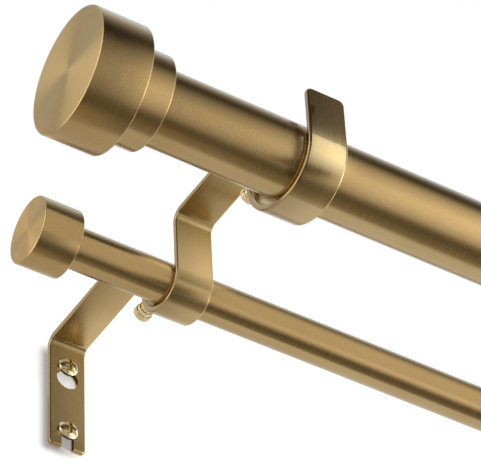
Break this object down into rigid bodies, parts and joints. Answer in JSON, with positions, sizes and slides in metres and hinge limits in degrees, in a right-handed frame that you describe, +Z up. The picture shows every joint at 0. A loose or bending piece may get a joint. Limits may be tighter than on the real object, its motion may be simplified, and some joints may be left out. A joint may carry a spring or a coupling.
{
  "type": "double curtain pole",
  "caption": "Double curtain pole: a large front pole with turned finials and a small rear pole with caps, on two bent-strip wall brackets with thumbscrews.",
  "frame": {"origin": "middle of the four wall screws, on the wall plane", "axes": "+X along the poles to the right, +Y into the wall, +Z up"},
  "size_m": [0.711, 0.2207, 0.0708],
  "materials": {
    "brushed_gold": "steel plated in antique gold, finely brushed and lacquered",
    "polished_gold": "polished brass",
    "black_nylon": "black nylon",
    "plain_steel": "plain zinc-plated steel"
  },
  "bodies": {
    "wall_frame": {"front_outer_tube": "brushed_gold", "front_bush": "black_nylon", "front_finial_left": "brushed_gold", "front_plug_left": "black_nylon", "front_stud_left": "plain_steel", "rear_outer_tube": "brushed_gold", "rear_bush": "black_nylon", "rear_finial_left": "brushed_gold", "rear_plug_left": "black_nylon", "rear_stud_left": "plain_steel", "bracket_left": "brushed_gold", "wall_screw_left_upper": "polished_gold", "wall_screw_left_lower": "polished_gold", "bracket_right": "brushed_gold", "wall_screw_right_upper": "polished_gold", "wall_screw_right_lower": "polished_gold"},
    "front_extension": {"front_inner_tube": "brushed_gold", "front_guide_ring": "black_nylon", "front_finial_right": "brushed_gold", "front_plug_right": "black_nylon", "front_stud_right": "plain_steel"},
    "rear_extension": {"rear_inner_tube": "brushed_gold", "rear_guide_ring": "black_nylon", "rear_finial_right": "brushed_gold", "rear_plug_right": "black_nylon", "rear_stud_right": "plain_steel"},
    "front_clamp_left": {"front_thumbscrew_left": "polished_gold"},
    "rear_clamp_left": {"rear_thumbscrew_left": "polished_gold"},
    "front_clamp_right": {"front_thumbscrew_right": "polished_gold"},
    "rear_clamp_right": {"rear_thumbscrew_right": "polished_gold"}
  },
  "joints": [
    {"name": "front_extension_slide", "type": "slide", "parent": "wall_frame", "child": "front_extension", "axis": [1, 0, 0], "range_m": [0, 0.508]},
    {"name": "rear_extension_slide", "type": "slide", "parent": "wall_frame", "child": "rear_extension", "axis": [1, 0, 0], "range_m": [0, 0.508]},
    {"name": "front_clamp_left_screw", "type": "slide", "parent": "wall_frame", "child": "front_clamp_left", "axis": [0, 1, 0], "range_m": [0, 0.006]},
    {"name": "rear_clamp_left_screw", "type": "slide", "parent": "wall_frame", "child": "rear_clamp_left", "axis": [0, 1, 0], "range_m": [0, 0.004]},
    {"name": "front_clamp_right_screw", "type": "slide", "parent": "wall_frame", "child": "front_clamp_right", "axis": [0, 1, 0], "range_m": [0, 0.006]},
    {"name": "rear_clamp_right_screw", "type": "slide", "parent": "wall_frame", "child": "rear_clamp_right", "axis": [0, 1, 0], "range_m": [0, 0.004]}
  ]
}
